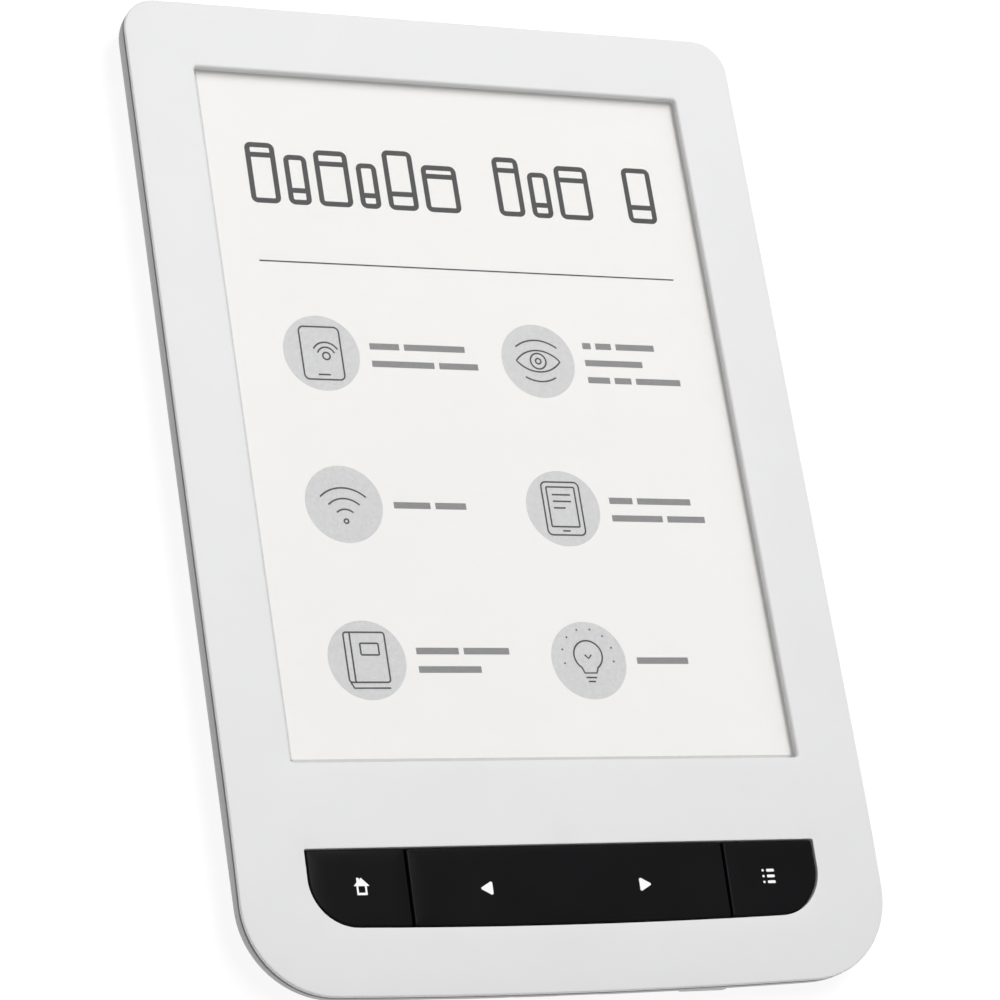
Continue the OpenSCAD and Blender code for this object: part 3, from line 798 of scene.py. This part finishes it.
def keyRing(left, right, grow=0.0, ends=0.0):
    # the part of the key opening between two X positions, less the gap round it
    bow = bowY - keyBar["low"] - keys["gap"] + grow
    top = keyBar["top"] - keys["gap"] + grow
    edge = keyBar["width"] / 2 - keys["gap"] + grow
    corner = keyBar["corner"] - keys["gap"] + grow
    bend = keyBar["width"] / 2 - keyBar["corner"]
    bendY = bowY - math.sqrt((bowY - keyBar["low"] - keyBar["corner"]) ** 2 - bend**2)
    tangent = math.degrees(math.atan2(bendY - bowY, bend))
    small = max(0.04, keys["corner"] + ends)
    count = max(2, round((min(right, edge) - max(left, -edge)) / 4))

    def lowEdge(x):
        return bowY - math.sqrt(bow**2 - x**2)

    x = right + ends
    if x > bend:
        x = edge
        ring = arc((bend, bendY), corner, tangent, 0, 16)
    else:
        ring = arc((x - small, lowEdge(x) + small), small, -90, 0, 5)
    ring += arc((x - small, top - small), small, 0, 90, 5)
    x = left - ends
    if x < -bend:
        ring += arc((-edge + small, top - small), small, 90, 180, 5)
        ring += arc((-bend, bendY), corner, 180, 180 - tangent, 16)
    else:
        ring += arc((x + small, top - small), small, 90, 180, 5)
        ring += arc((x + small, lowEdge(x) + small), small, 180, 270, 5)
    first, last = ring[-1][0], ring[0][0]
    places = [first + (last - first) * i / count for i in range(1, count)]
    return ring + [(place, lowEdge(place)) for place in places]


def keyTop(y):
    return frontZ(y, keys["sink"])


def stemWithRib(skin, x, foot):
    stem = arc((x, keys["line"]), keys["stemRadius"], 0, 337.5, 15)
    loft(skin, [upright(stem, z) for z in (keys["stemFoot"], keys["stemFoot"] + keys["stemLength"])])
    low, high = keyBar["low"] + keys["ribLow"], keyBar["top"] - keys["ribTop"]
    rib = roundedBox((x - keys["ribHalf"], low), (x + keys["ribHalf"], high), 0.05, 1)
    loft(skin, [upright(rib, foot), onFront(rib, keys["sink"] + keys["roof"] / 2)])


def makeKey(name, onBody, node, left, right, foot):
    skin = newSkin()
    under = keys["sink"] + keys["roof"]
    rings = []
    for inset, depth in keys["edge"]:
        rings.append(onFront(keyRing(left, right, -inset, -inset), keys["sink"] + depth))
    inner = keyRing(left, right, -keys["wall"], -keys["wall"])
    rings += [upright(keyRing(left, right), foot), upright(inner, foot), onFront(inner, under)]
    loops = loft(skin, rings, ends=False)
    fillBetween(skin, loops[0], [], keys["grid"]["top"], faceAt(keys["sink"]))
    fillBetween(skin, loops[-1], [], keys["grid"]["roof"], faceAt(under))
    if node == "page_key":
        for x in (-keys["domeX"], keys["domeX"]):
            stemWithRib(skin, x, foot)
        pin = arc((0.0, keys["pinZ"]), keys["pinRadius"], 0, 337.5, 15)
        loft(skin, [[(x, y, z) for x, z in pin] for y in keys["pinEnds"]])
        rib = roundedBox(*keys["rockerRib"], 0.05, 1)
        loft(skin, [upright(rib, keys["rockerRibFoot"]), onFront(rib, keys["sink"] + keys["roof"] / 2)])
    else:
        stemWithRib(skin, keys["homeX"] if left < 0 else -keys["homeX"], foot)
        rim = keyRing(left, right, grow=keys["gap"] + keys["flange"])
        lap = keys["lap"] - keys["wall"]
        hollow = keyRing(left, right, lap, lap)
        levels = (foot, foot + keys["flange"])
        band = loft(skin, [upright(rim, z) for z in levels], ends=False)
        bore = loft(skin, [upright(hollow, z) for z in levels], ends=False)
        for i, z in enumerate(levels):
            fillBetween(skin, band[i], [bore[i]], keys["grid"]["flange"], levelAt(z))
    return settle(newObject(name, skin, finishes["key"]), onBody, [node])


keyInner = keys["split"] - keys["between"] / 2
keyOuter = keys["split"] + keys["between"] / 2
makeKey("homeKey", "home_key", "home_key", -keys["past"], -keyOuter, keys["endFoot"])
makeKey("pageKey", "page_key", "page_key", -keyInner, keyInner, keys["pageFoot"])
makeKey("menuKey", "menu_key", "menu_key", keyOuter, keys["past"], keys["endFoot"])

domes = {
    "board": 4.5,
    "middle": -69.6,
    "radius": 2.2,
    "rise": 0.3,
    "metal": 0.1,
    "rings": [0.4, 0.8, 1.2, 1.55],
    "keep": 0.3,
}


def makeDome(name, node, x):
    # sprung steel cap on the board, which goes flat under its key
    ball = (domes["radius"] ** 2 + domes["rise"] ** 2) / (2 * domes["rise"])
    drop = ball - domes["rise"]

    def capRing(radius, skinDepth):
        z = domes["board"] + math.sqrt((ball - skinDepth) ** 2 - radius**2) - drop
        return [(px, py, z) for px, py in arc((x, domes["middle"]), radius, 0, 352.5, 47)]

    inside = math.sqrt((ball - domes["metal"]) ** 2 - drop**2)
    rings = [capRing(radius, domes["metal"]) for radius in domes["rings"] + [inside]]
    rings += [capRing(radius, 0.0) for radius in [domes["radius"], 1.9] + domes["rings"][::-1] + [0.15]]
    skin = newSkin()
    loft(skin, rings)
    dome = settle(newObject(name, skin, finishes["dome"]), "housing", [node])
    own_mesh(dome)


makeDome("homeDome", "home_dome", keys["homeX"])
makeDome("backDome", "back_dome", -keys["domeX"])
makeDome("forwardDome", "forward_dome", keys["domeX"])
makeDome("menuDome", "menu_dome", -keys["homeX"])

symbols = {
    "proud": 0.012,
    "under": 0.02,
    "grid": 9.0,
    "home": (-36.6, -69.2),
    "back": (-15.05, -70.0),
    "forward": (13.3, -70.0),
    "menu": (36.25, -69.15),
}


def printPatch(skin, outline, holes=()):
    # a thin layer of print that follows the top of its key
    def layer(lift):
        return [addRing(skin, [(x, y, keyTop(y) + lift) for x, y in ring]) for ring in (outline, *holes)]

    high, low = layer(symbols["proud"]), layer(-symbols["under"])
    for upper, lower in zip(high, low):
        bridge(skin, lower, upper)
    for rings in (high, low):
        fillBetween(skin, rings[0], rings[1:], symbols["grid"], faceAt(keys["sink"]))


def moved(ring, place):
    return [(x + place[0], y + place[1]) for x, y in ring]


def makeSymbols():
    house = [
        (-0.88, -1.4), (0.88, -1.4), (0.88, 0.05), (1.38, 0.05), (0.0, 1.42), (-0.36, 1.06),
        (-0.36, 1.38), (-0.78, 1.38), (-0.78, 0.66), (-1.38, 0.05), (-0.88, 0.05),
    ]
    door = [(-0.56, -1.02), (0.56, -1.02), (0.56, 0.05), (-0.56, 0.05)]
    home = newSkin()
    wall = softened(house, [0.08, 0.08, 0, 0.06, 0.1, 0, 0.05, 0.05, 0, 0.06, 0], 3)
    printPatch(home, moved(wall, symbols["home"]), [moved(softened(door, [0.06] * 4, 3), symbols["home"])])
    settle(newObject("homeSymbol", home, finishes["keyPrintPaintedGlow"]), "home_key")
    page = newSkin()
    for side, place in ((-1, symbols["back"]), (1, symbols["forward"])):
        arrow = [(-1.05, -1.24), (1.2, 0.0), (-1.05, 1.24)]
        if side < 0:
            arrow = [(-x, y) for x, y in reversed(arrow)]
        printPatch(page, moved(softened(arrow, [0.26, 0.2, 0.26], 4), place))
    settle(newObject("pageSymbols", page, finishes["keyPrintPaintedGlow"]), "page_key")
    menu = newSkin()
    for y in (-0.98, 0.0, 0.98):
        printPatch(menu, moved(arc((-0.98, y), 0.21, 0, 345, 23), symbols["menu"]))
        printPatch(menu, moved(roundedBox((-0.32, y - 0.23), (1.12, y + 0.23), 0.16, 5), symbols["menu"]))
    settle(newObject("menuSymbol", menu, finishes["keyPrintPaintedGlow"]), "menu_key")


makeSymbols()
print("keys made")


# ---- what repeats or follows a line ----


def newTree(name, inputs):
    tree = bpy.data.node_groups.new(name, "GeometryNodeTree")
    tree.interface.new_socket("Geometry", in_out="INPUT", socket_type="NodeSocketGeometry")
    sockets = {}
    for label, kind, value in (*inputs, ("Finish", "NodeSocketMaterial", None)):
        socket = tree.interface.new_socket(label, in_out="INPUT", socket_type=kind)
        if value is not None:
            socket.default_value = value
        sockets[label] = socket.identifier
    tree.interface.new_socket("Geometry", in_out="OUTPUT", socket_type="NodeSocketGeometry")
    return tree, sockets, tree.nodes.new("NodeGroupInput"), tree.nodes.new("NodeGroupOutput")


def closeTree(tree, source, given, leave):
    # instances become real faces and take the finish
    real = tree.nodes.new("GeometryNodeRealizeInstances")
    paint = tree.nodes.new("GeometryNodeSetMaterial")
    tree.links.new(source, real.inputs["Geometry"])
    tree.links.new(real.outputs["Geometry"], paint.inputs["Geometry"])
    tree.links.new(given.outputs["Finish"], paint.inputs["Material"])
    tree.links.new(paint.outputs["Geometry"], leave.inputs["Geometry"])


def strokeTree():
    # a flat stroke of one width along every edge path of the mesh
    inputs = [("Line width", "NodeSocketFloat", 0.0003), ("Thickness", "NodeSocketFloat", 0.00001)]
    tree, sockets, given, leave = newTree("flatStroke", inputs)
    path = tree.nodes.new("GeometryNodeMeshToCurve")
    normal = tree.nodes.new("GeometryNodeSetCurveNormal")
    normal.mode = "Z_UP"
    pen = tree.nodes.new("GeometryNodeCurvePrimitiveQuadrilateral")
    sweep = tree.nodes.new("GeometryNodeCurveToMesh")
    sweep.inputs["Fill Caps"].default_value = True
    tree.links.new(given.outputs["Geometry"], path.inputs["Mesh"])
    tree.links.new(path.outputs["Curve"], normal.inputs["Curve"])
    tree.links.new(normal.outputs["Curve"], sweep.inputs["Curve"])
    tree.links.new(given.outputs["Line width"], pen.inputs["Width"])
    tree.links.new(given.outputs["Thickness"], pen.inputs["Height"])
    tree.links.new(pen.outputs["Curve"], sweep.inputs["Profile Curve"])
    closeTree(tree, sweep.outputs["Mesh"], given, leave)
    return tree, sockets


def discTree():
    # a thin disc at every point of the mesh
    inputs = [("Radius", "NodeSocketFloat", 0.0068), ("Thickness", "NodeSocketFloat", 0.00001)]
    tree, sockets, given, leave = newTree("pointDisc", inputs)
    disc = tree.nodes.new("GeometryNodeMeshCylinder")
    disc.inputs["Vertices"].default_value = 72
    spread = tree.nodes.new("GeometryNodeInstanceOnPoints")
    tree.links.new(given.outputs["Radius"], disc.inputs["Radius"])
    tree.links.new(given.outputs["Thickness"], disc.inputs["Depth"])
    tree.links.new(given.outputs["Geometry"], spread.inputs["Points"])
    tree.links.new(disc.outputs["Mesh"], spread.inputs["Instance"])
    closeTree(tree, spread.outputs["Instances"], given, leave)
    return tree, sockets


def barTree():
    # a row of small bars, one at every point of the mesh
    inputs = [("Bar size", "NodeSocketVector", (0.0004, 0.003, 0.0001))]
    tree, sockets, given, leave = newTree("pointBar", inputs)
    bar = tree.nodes.new("GeometryNodeMeshCube")
    spread = tree.nodes.new("GeometryNodeInstanceOnPoints")
    tree.links.new(given.outputs["Bar size"], bar.inputs["Size"])
    tree.links.new(given.outputs["Geometry"], spread.inputs["Points"])
    tree.links.new(bar.outputs["Mesh"], spread.inputs["Instance"])
    closeTree(tree, spread.outputs["Instances"], given, leave)
    return tree, sockets


strokes = strokeTree()
discs = discTree()
bars = barTree()


def pathMesh(name, paths, z):
    # paths are (points, closed); a single point is left as a point
    points, edges = [], []
    for line, closed in paths:
        first = len(points)
        points += [(x * mm, y * mm, z * mm) for x, y in line]
        edges += [(first + i, first + i + 1) for i in range(len(line) - 1)]
        if closed:
            edges.append((first + len(line) - 1, first))
    mesh = bpy.data.meshes.new(name)
    mesh.from_pydata(points, edges, [])
    return linked(name, mesh)


def grow(name, paths, z, recipe, values, finish, onBody, slot):
    tree, sockets = recipe
    obj = pathMesh(name, paths, z)
    maker = obj.modifiers.new("maker", "NODES")
    maker.node_group = tree
    for label, value in values.items():
        maker[sockets[label]] = value
    maker[sockets["Finish"]] = finishes[finish]
    return settle(bakeDown(obj), onBody)


# ---- page on the screen ----

page = {
    "z": 6.155,
    "centre": (1.12, 14.19),
    "lipShadeWidth": 1.05,
    "lipShadeBend": 0.3,
    "ruleY": 26.0,
    "ruleX": (-39.1, 38.8),
    "ruleWidth": 0.27,
    "discX": (-30.3, 9.65),
    "discY": (9.35, -17.8, -45.0),
    "discRadius": 6.85,
    "iconLine": 0.3,
    "labelX": (-21.4, 18.6),
    "labelPitch": 3.2,
    "labelHeight": 1.15,
    "wordGap": 0.9,
    # word lengths, row by row, for each icon
    "labels": [
        [[5.4, 11.2], [11.4, 7.2]], [[1.6, 3.0, 7.4], [11.0], [4.2, 3.2, 8.6]],
        [[6.6, 5.6]], [[4.4, 10.2], [9.6, 7.2]],
        [[7.6, 8.2], [11.2]], [[9.6]],
    ],
    "headLow": 36.8,
    "headLine": 0.95,
    "ink": 0.012,
}


def onPage(ring):
    return moved(ring, page["centre"])


def bookRow():
    # a shelf of book spines drawn in outline: (left, width, height, band)
    shelf = [
        (-38.9, 5.4, 11.4, 8.6), (-32.1, 4.2, 9.4, 2.2), (-26.5, 6.2, 10.6, 7.6),
        (-18.9, 3.8, 8.6, 2.0), (-13.7, 5.6, 11.4, 2.6), (-6.7, 6.6, 9.0, 6.4),
        (7.1, 5.0, 11.4, 8.4), (13.5, 4.0, 8.8, 2.0), (18.9, 6.4, 10.4, 7.2),
        (32.2, 5.6, 10.8, 2.6),
    ]
    paths = []
    half = page["headLine"] / 2
    for left, width, height, band in shelf:
        low = (left + half, page["headLow"] + half)
        high = (left + width - half, page["headLow"] + height - half)
        paths.append((onPage(roundedBox(low, high, 0.7, 5)), True))
        paths.append((onPage([(low[0] + half, low[1] + band), (high[0] - half, low[1] + band)]), False))
    return paths


def tabletIcon():
    return [
        (roundedBox((-3.6, -4.8), (3.6, 4.8), 0.9), True),
        ([(-1.1, -3.9), (1.1, -3.9)], False),
        (arc((0.8, -0.5), 0.65, 0, 345, 23), True),
        (arc((0.8, -0.5), 1.6, 20, 160, 14), False),
        (arc((0.8, -0.5), 2.5, 30, 150, 14), False),
    ]


def eyeIcon():
    lid = arc((0, -3.2), 5.2, 38, 142, 20)
    return [
        (lid + [(x, -y) for x, y in reversed(lid)][1:-1], True),
        (arc((0, 0), 1.45, 0, 345, 23), True),
        (arc((0, 0), 0.5, 0, 345, 23), True),
        (arc((0, -2.4), 6.3, 52, 128, 14), False),
        (arc((0, 1.6), 5.4, -122, -58, 12), False),
    ]


def waveIcon():
    waves = [(arc((0, -3.0), radius, 46, 134, 18), False) for radius in (2.1, 4.0, 5.9)]
    return waves + [(arc((0, -3.0), 0.38, 0, 345, 23), True)]


def pageIcon():
    return [
        (roundedBox((-3.5, -4.8), (3.5, 4.8), 0.9), True),
        (roundedBox((-2.6, -3.3), (2.6, 3.9), 0.2, 3), True),
        ([(-1.7, 2.5), (1.7, 2.5)], False),
        ([(-1.7, 1.3), (1.7, 1.3)], False),
        ([(-1.7, 0.1), (0.5, 0.1)], False),
        ([(-0.7, -4.05), (0.7, -4.05)], False),
    ]


def bookIcon():
    return [
        (roundedBox((-3.6, -3.8), (3.6, 4.8), 0.5), True),
        ([(-2.5, -3.8), (-2.5, 4.8)], False),
        ([(-3.4, -3.8), (-2.9, -4.8), (3.5, -4.8)], False),
        (roundedBox((-0.9, 0.9), (2.3, 2.9), 0.2, 3), True),
    ]


def bulbIcon():
    glass = arc((0, 0.9), 2.6, -55, 235, 30) + [(-1.1, -2.2), (1.1, -2.2)]
    rays = [arc((0, 0.9), 4.7, a, a + 4, 1) for a in (-15, 15, 45, 75, 105, 135, 165, 195)]
    cap = [[(-1.0, -3.0), (1.0, -3.0)], [(-0.65, -3.7), (0.65, -3.7)]]
    filament = [(-0.6, 1.0), (0.0, 0.35), (0.6, 1.0)]
    return [(glass, True)] + [(line, False) for line in (*cap, *rays, filament)]


def draw(name, paths, width, layers, finish):
    # strokes on the page, so many layers of ink thick
    values = {"Line width": width * mm, "Thickness": page["ink"] * layers * mm}
    grow(name, paths, page["z"], strokes, values, finish, "housing", "screen")


def paintLipShade():
    # painted shade: a grey band drawn on the screen along the window's left and bottom lips, standing in for
    # the shade at the foot of the recess
    reach, high = body["windowWidth"] / 2, body["windowHeight"] / 2
    shy, bend = page["lipShadeWidth"] / 2, page["lipShadeBend"]
    left, low = shy - reach, body["windowY"] - high + shy
    corner = arc((left + bend, low + bend), bend, 180, 270, 4)
    shadeLine = [(left, body["windowY"] + high)] + corner + [(reach, low)]
    draw("pageLipShade", [(shadeLine, False)], page["lipShadeWidth"], 0.4, "lipShadeInk")


def makeLabels(places):
    # every label is rows of plain bars, one a word
    words = []
    for label, (x, y) in zip(page["labels"], places):
        column = page["labelX"][page["discX"].index(x)]
        for row, widths in enumerate(label):
            level = y + ((len(label) - 1) / 2 - row) * page["labelPitch"]
            start = column
            for width in widths:
                words.append((onPage([(start, level), (start + width, level)]), False))
                start += width + page["wordGap"]
    draw("pageLabels", words, page["labelHeight"], 1.0, "inkText")


def makePage():
    paintLipShade()
    rule = [(x, page["ruleY"]) for x in page["ruleX"]]
    draw("pageRule", [(onPage(rule), False)], page["ruleWidth"], 1.0, "inkLine")
    draw("pageHeading", bookRow(), page["headLine"], 1.0, "inkLine")
    places = [(x, y) for y in page["discY"] for x in page["discX"]]
    spots = [(onPage([place]), False) for place in places]
    sizes = {"Radius": page["discRadius"] * mm, "Thickness": page["ink"] * 0.6 * mm}
    grow("iconDiscs", spots, page["z"], discs, sizes, "inkDisc", "housing", "screen")
    lines = []
    for icon, place in zip((tabletIcon, eyeIcon, waveIcon, pageIcon, bookIcon, bulbIcon), places):
        lines += [(onPage(moved(line, place)), closed) for line, closed in icon()]
    draw("iconLines", lines, page["iconLine"], 1.4, "inkLine")
    makeLabels(places)


makePage()
print("page made")


# ---- bottom edge ----

button = {
    "x": 23.0,
    "z": 3.0,
    "half": (4.5, 1.0),
    "corner": 0.98,
    "edge": [(0.3, 0.0), (0.17, 0.02), (0.07, 0.09), (0.0, 0.25)],
    "face": -86.6,
    "root": -83.0,
    "flange": ((17.7, 1.7), (28.3, 3.6), -82.3),
}
contacts = {
    "usb": {"count": 5, "pitch": 0.65, "size": (0.3, 3.2, 0.06), "y": -81.6, "z": 2.49},
    "card": {"count": 8, "pitch": 1.1, "size": (0.6, 5.0, 0.1), "y": -76.5, "z": 3.40},
}


def makeButton():
    ring = roundedBox((-button["half"][0], -button["half"][1]), button["half"], button["corner"], 8)

    def placed(outline, y):
        return [(button["x"] + x, y, button["z"] + z) for x, z in outline]

    rings = [placed(offsetRing(ring, -inset), button["face"] + back) for inset, back in button["edge"]]
    rings.append(placed(ring, button["root"]))
    skin = newSkin()
    loft(skin, rings)
    low, high, back = button["flange"]
    flange = roundedBox(low, high, 0.2, 3)
    loft(skin, [[(x, y, z) for x, z in flange] for y in (button["root"], back)])
    settle(newObject("powerButton", skin, finishes["button"]), "power_button", ["power_button"])


def makeContacts():
    for name, look in contacts.items():
        low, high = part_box(name + "_socket")
        start = ((low + high) / 2).x / mm - look["pitch"] * (look["count"] - 1) / 2
        spots = [([(start + look["pitch"] * i, look["y"])], False) for i in range(look["count"])]
        size = tuple(side * mm for side in look["size"])
        grow(name + "Contacts", spots, look["z"], bars, {"Bar size": size}, "gold", "housing", "port_shell")


makeButton()
makeContacts()
print("bottom edge made")


# ---- stage, light and camera ----

stage = {
    "size": 4.0,
    "drop": 0.0002,
    "floor": (0.17, 0.17, 0.17),
    "glow": 0.87,
    "backdrop": [(1.55, 0.0), (1.72, 0.02), (1.86, 0.08), (1.95, 0.2), (1.99, 0.4), (2.0, 0.7), (2.0, 1.4)],
    "backdropGlow": 0.93,
    "sky": (1.0, 1.0, 1.0),
    "horizon": (0.1, 0.103, 0.107),
    "skyStrength": 0.52,
    "bright": (0.3, 0.1, 0.95),
}
lamps = {
    "stripBox": {"place": (0.11, 0.24, 0.8), "size": (0.24, 0.75), "power": 5.5},
}
view = {
    "aim": (-1.85, -3.21, 8.3),
    "azimuth": -50.34,
    "elevation": 56.03,
    "roll": 46.2,
    "distance": 661.5,
    "lens": 143.6,
}


def stagePiece(name, mesh, strength, drop=0.0):
    # a matt pale panel with some light of its own, which is no part of the reader
    panel, shader = moulded(
        name + "Panel", stage["floor"], (0.85, 0.95), grain=3.0, depth=0.001, mottle=0.004, cloud=60.0
    )
    glow(shader, strength)
    mesh.materials.append(panel)
    piece = linked(name, mesh)
    piece.location.z = -drop
    return piece


def makeFloor():
    side = stage["size"] / 2
    corners = [(-side, -side, 0), (side, -side, 0), (side, side, 0), (-side, side, 0)]
    mesh = bpy.data.meshes.new("floor")
    mesh.from_pydata(corners, [], [(0, 1, 2, 3)])
    floor = stagePiece("floor", mesh, stage["glow"], stage["drop"])


def makeBackdrop():
    # a white wall round the floor, behind the low views: it neither lights nor shades the reader
    skin = newSkin()
    rings = [upright(arc((0, 0), reach, 0, 356.25, 95), height) for reach, height in stage["backdrop"]]
    loft(skin, rings, ends=False)
    mesh = bpy.data.meshes.new("backdrop")
    mesh.from_pydata(skin["points"], [], skin["faces"])
    mesh.shade_smooth()
    backdrop = stagePiece("backdrop", mesh, stage["backdropGlow"])
    backdrop.visible_diffuse = backdrop.visible_glossy = False
    backdrop.visible_transmission = backdrop.visible_shadow = False


def makeSky():
    world = bpy.data.worlds.new("studio")
    bpy.context.scene.world = world
    world.use_nodes = True
    tree = world.node_tree
    sky = tree.nodes["Background"]
    sky.inputs["Strength"].default_value = stage["skyStrength"]
    place = tree.nodes.new("ShaderNodeTexCoord")
    facing = tree.nodes.new("ShaderNodeVectorMath")
    facing.operation = "DOT_PRODUCT"
    facing.inputs[1].default_value = Vector(stage["bright"]).normalized()
    ramp = tree.nodes.new("ShaderNodeValToRGB")
    ramp.color_ramp.elements[0].color = (*stage["horizon"], 1.0)
    ramp.color_ramp.elements[1].color = (*stage["sky"], 1.0)
    tree.links.new(place.outputs["Generated"], facing.inputs[0])
    tree.links.new(facing.outputs["Value"], ramp.inputs["Fac"])
    tree.links.new(ramp.outputs["Color"], sky.inputs["Color"])


def makeLamps():
    for name, look in lamps.items():
        light = bpy.data.lights.new(name, "AREA")
        light.shape = "RECTANGLE"
        light.size, light.size_y = look["size"]
        light.energy = look["power"]
        lamp = linked(name, light)
        lamp.location = look["place"]
        lamp.rotation_mode = "QUATERNION"
        lamp.rotation_quaternion = (-Vector(look["place"])).to_track_quat("-Z", "Y")


def makeCamera():
    turn, lift = math.radians(view["azimuth"]), math.radians(view["elevation"])
    back = Vector((math.sin(turn) * math.cos(lift), -math.cos(turn) * math.cos(lift), math.sin(lift)))
    camera = linked("camera", bpy.data.cameras.new("camera"))
    camera.data.sensor_width = 36.0
    camera.data.lens = view["lens"]
    camera.data.clip_start, camera.data.clip_end = 0.01, 20.0
    camera.location = (Vector(view["aim"]) + back * view["distance"]) * mm
    camera.rotation_mode = "QUATERNION"
    roll = Quaternion((0, 0, 1), math.radians(view["roll"]))
    camera.rotation_quaternion = (-back).to_track_quat("-Z", "Y") @ roll
    bpy.context.scene.camera = camera


makeFloor()
makeBackdrop()
makeSky()
makeLamps()
makeCamera()
bpy.context.scene.view_settings.view_transform = "Standard"
print("stage set")
